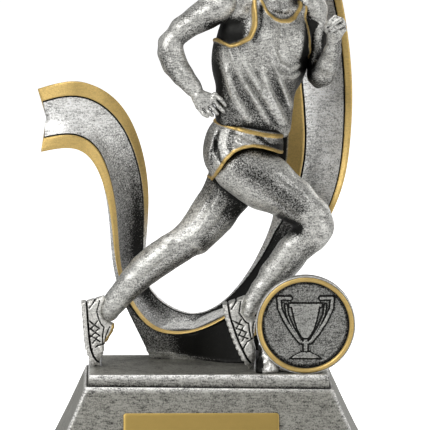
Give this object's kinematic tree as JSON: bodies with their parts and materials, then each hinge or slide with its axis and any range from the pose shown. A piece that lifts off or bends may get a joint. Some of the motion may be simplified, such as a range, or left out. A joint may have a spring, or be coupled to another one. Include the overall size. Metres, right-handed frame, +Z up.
{
  "type": "runner figure trophy",
  "caption": "Sculpted running-figure trophy: runner over a sweeping notched ribbon with a round cup medallion, on a flared base with an engraving plate.",
  "frame": {"origin": "middle of the underside", "axes": "+Z up, -Y is the front with the plate and medallion, the runner heads towards +X"},
  "size_m": [0.1036, 0.0578, 0.1861],
  "materials": {
    "cast_silver": "antique silver paint on cast resin, dark wash in the hollows",
    "ribbon_silver": "antique silver channel with hand-painted gold rims on cast resin",
    "skin_silver": "antique silver paint with fine dark speckle on cast resin",
    "cloth_silver": "antique silver paint with gold piping on cast resin",
    "shoe_silver": "antique silver paint with gold collar and tongue on cast resin",
    "painted_gold": "satin gold paint on cast resin",
    "plate_gold": "satin gold anodised sheet",
    "pewter_disc": "antique pewter centre with raised cup",
    "foam_tape": "thin double-sided pad",
    "felt": "black felt",
    "pin_steel": "plain drawn rod",
    "screw_steel": "zinc plated"
  },
  "bodies": {
    "root": {"base_plinth": "cast_silver", "engraving_plate": "plate_gold", "plate_adhesive": "foam_tape", "base_felt": "felt", "medallion_ring": "painted_gold", "disc_adhesive": "foam_tape", "medallion_disc": "pewter_disc", "medallion_rock": "cast_silver", "ribbon": "ribbon_silver", "runner_torso": "cloth_silver", "runner_head": "skin_silver", "runner_shorts": "cloth_silver", "runner_front_leg": "skin_silver", "runner_rear_leg": "skin_silver", "front_shoe": "shoe_silver", "rear_shoe": "shoe_silver", "runner_right_arm": "skin_silver", "runner_left_arm": "skin_silver", "runner_right_hand": "skin_silver", "runner_left_hand": "skin_silver", "front_shoe_pin": "pin_steel", "rear_shoe_pin": "pin_steel", "medallion_pin": "pin_steel", "neck_dowel": "pin_steel", "waist_dowel": "pin_steel", "front_hip_dowel": "pin_steel", "rear_hip_dowel": "pin_steel", "right_shoulder_dowel": "pin_steel", "left_shoulder_dowel": "pin_steel", "ribbon_screws": "screw_steel", "ribbon_washers": "screw_steel"}
  },
  "joints": []
}
